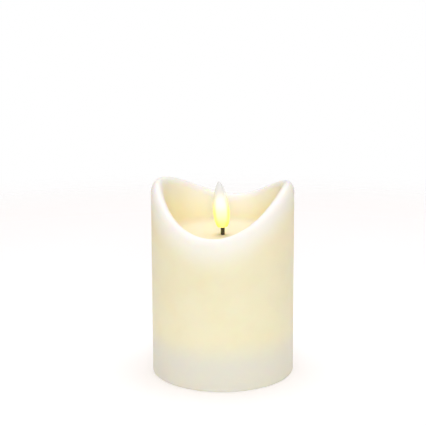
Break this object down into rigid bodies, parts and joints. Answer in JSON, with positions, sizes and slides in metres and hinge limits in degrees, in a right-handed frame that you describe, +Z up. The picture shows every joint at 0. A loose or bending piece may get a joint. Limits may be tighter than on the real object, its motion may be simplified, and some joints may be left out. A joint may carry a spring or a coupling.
{
  "type": "flameless led candle",
  "caption": "Battery-powered wax pillar candle with a wavy melted rim, a glowing bullet flame on a dark wick, a hinged battery door and a slide switch.",
  "frame": {"origin": "centre of the candle's bottom face, on the candle's axis", "axes": "+Z up along the axis; the rim's peaks lie along X, its deep dip faces -Y and its shallow dip +Y"},
  "size_m": [0.075, 0.075, 0.102],
  "materials": {
    "ivory_wax": "satin paraffin wax, slightly translucent",
    "frosted_flame": "frosted translucent plastic, lit from inside",
    "white_abs": "fine moulded texture",
    "black_plastic": "satin moulded",
    "nickel_steel": "bright nickel plate",
    "board_green": "solder mask on glass laminate",
    "cell_jacket": "printed shrink film without lettering",
    "red_insulation": "smooth wire insulation",
    "black_insulation": "smooth sleeve",
    "led_resin": "clear warm-tinted resin",
    "resistor_tan": "lacquered ceramic body"
  },
  "bodies": {
    "candle": {"wax_shell": "ivory_wax", "flame_tip": "frosted_flame", "flame_led": "led_resin", "wick_stem": "black_plastic", "wick_socket": "white_abs", "wick_holder": "white_abs", "led_lead_positive": "red_insulation", "led_lead_negative": "black_insulation", "battery_housing": "white_abs", "base_plate": "white_abs", "cell_1": "cell_jacket", "cell_2": "cell_jacket", "negative_plate": "nickel_steel", "positive_plate": "nickel_steel", "bridge_plate": "nickel_steel", "negative_spring": "nickel_steel", "bridge_spring": "nickel_steel", "battery_wire_red": "red_insulation", "battery_wire_black": "black_insulation", "control_board": "board_green", "timer_chip": "black_plastic", "timer_crystal": "nickel_steel", "storage_capacitor": "black_insulation", "led_resistor": "resistor_tan", "switch_frame": "nickel_steel", "base_screw_1": "nickel_steel", "base_screw_2": "nickel_steel", "base_screw_3": "nickel_steel", "board_screw_1": "nickel_steel", "board_screw_2": "nickel_steel"},
    "door": {"battery_door": "white_abs"},
    "knob": {"switch_knob": "black_plastic"}
  },
  "joints": [
    {"name": "battery_door_hinge", "type": "hinge", "parent": "candle", "child": "door", "pos_m": [0.0276, 0, 0.0016], "axis": [0, -1, 0], "range_deg": [0, 90]},
    {"name": "switch_slide", "type": "slide", "parent": "candle", "child": "knob", "axis": [1, 0, 0], "range_m": [0, 0.004]}
  ]
}
